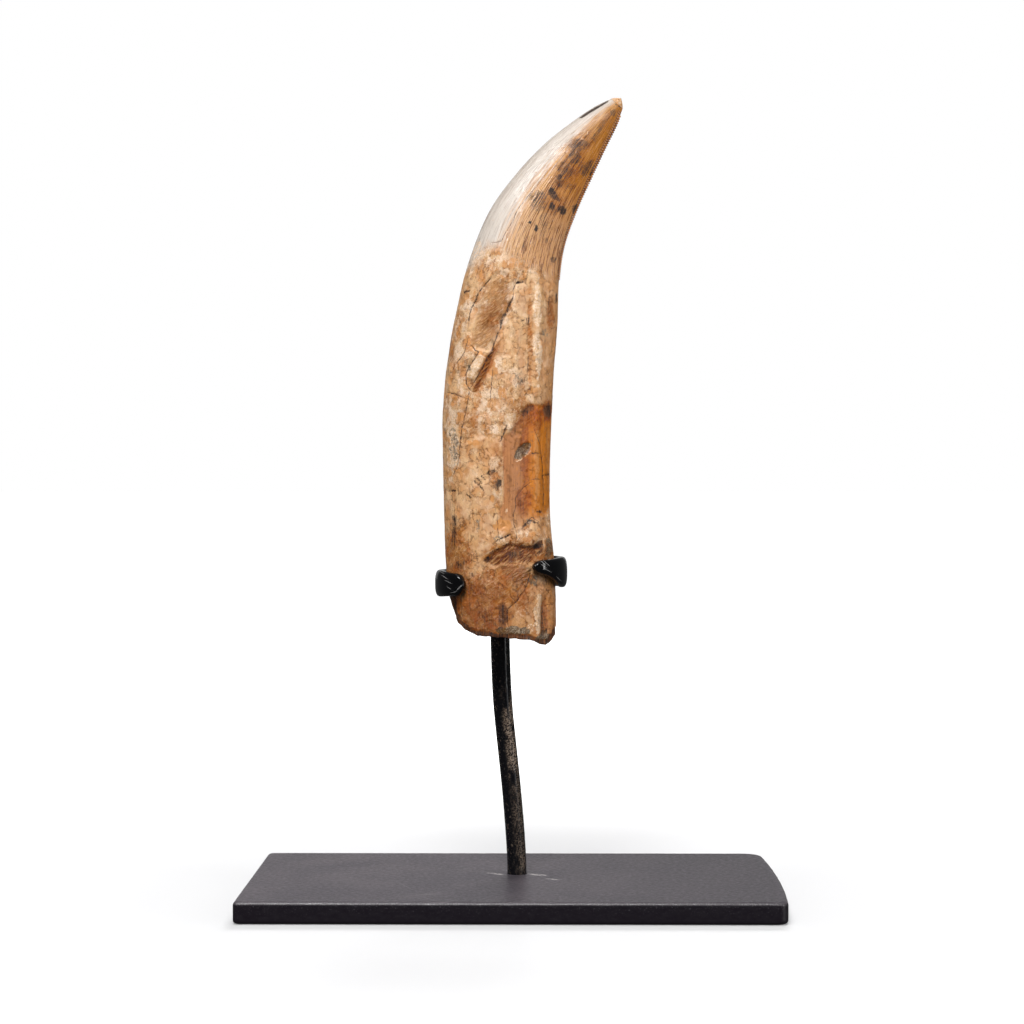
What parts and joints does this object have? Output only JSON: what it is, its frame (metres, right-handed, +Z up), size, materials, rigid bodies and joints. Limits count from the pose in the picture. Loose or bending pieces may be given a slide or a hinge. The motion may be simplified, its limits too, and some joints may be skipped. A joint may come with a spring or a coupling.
{
  "type": "fossil tyrannosaur tooth on a stand",
  "caption": "Curved fossil tyrannosaur tooth with serrated edge and broken root, held upright by two claws on a bent rod and a flat base plate.",
  "frame": {"origin": "centre of the base plate's underside", "axes": "+Z up, +X to the right when the tooth's labial face is seen from the front, -Y towards the viewer of that face"},
  "size_m": [0.1351, 0.0762, 0.2028],
  "materials": {
    "fossil": "glossy enamel on the crown, satin to rough on the root",
    "plate_paint": "satin black paint, scuffed",
    "rod_paint": "gloss black paint",
    "claw_coat": "thick gloss black coating, scratched"
  },
  "bodies": {
    "root": {"tooth": "fossil", "base_plate": "plate_paint", "support_rod": "rod_paint", "left_claw": "claw_coat", "right_claw": "claw_coat"}
  },
  "joints": []
}
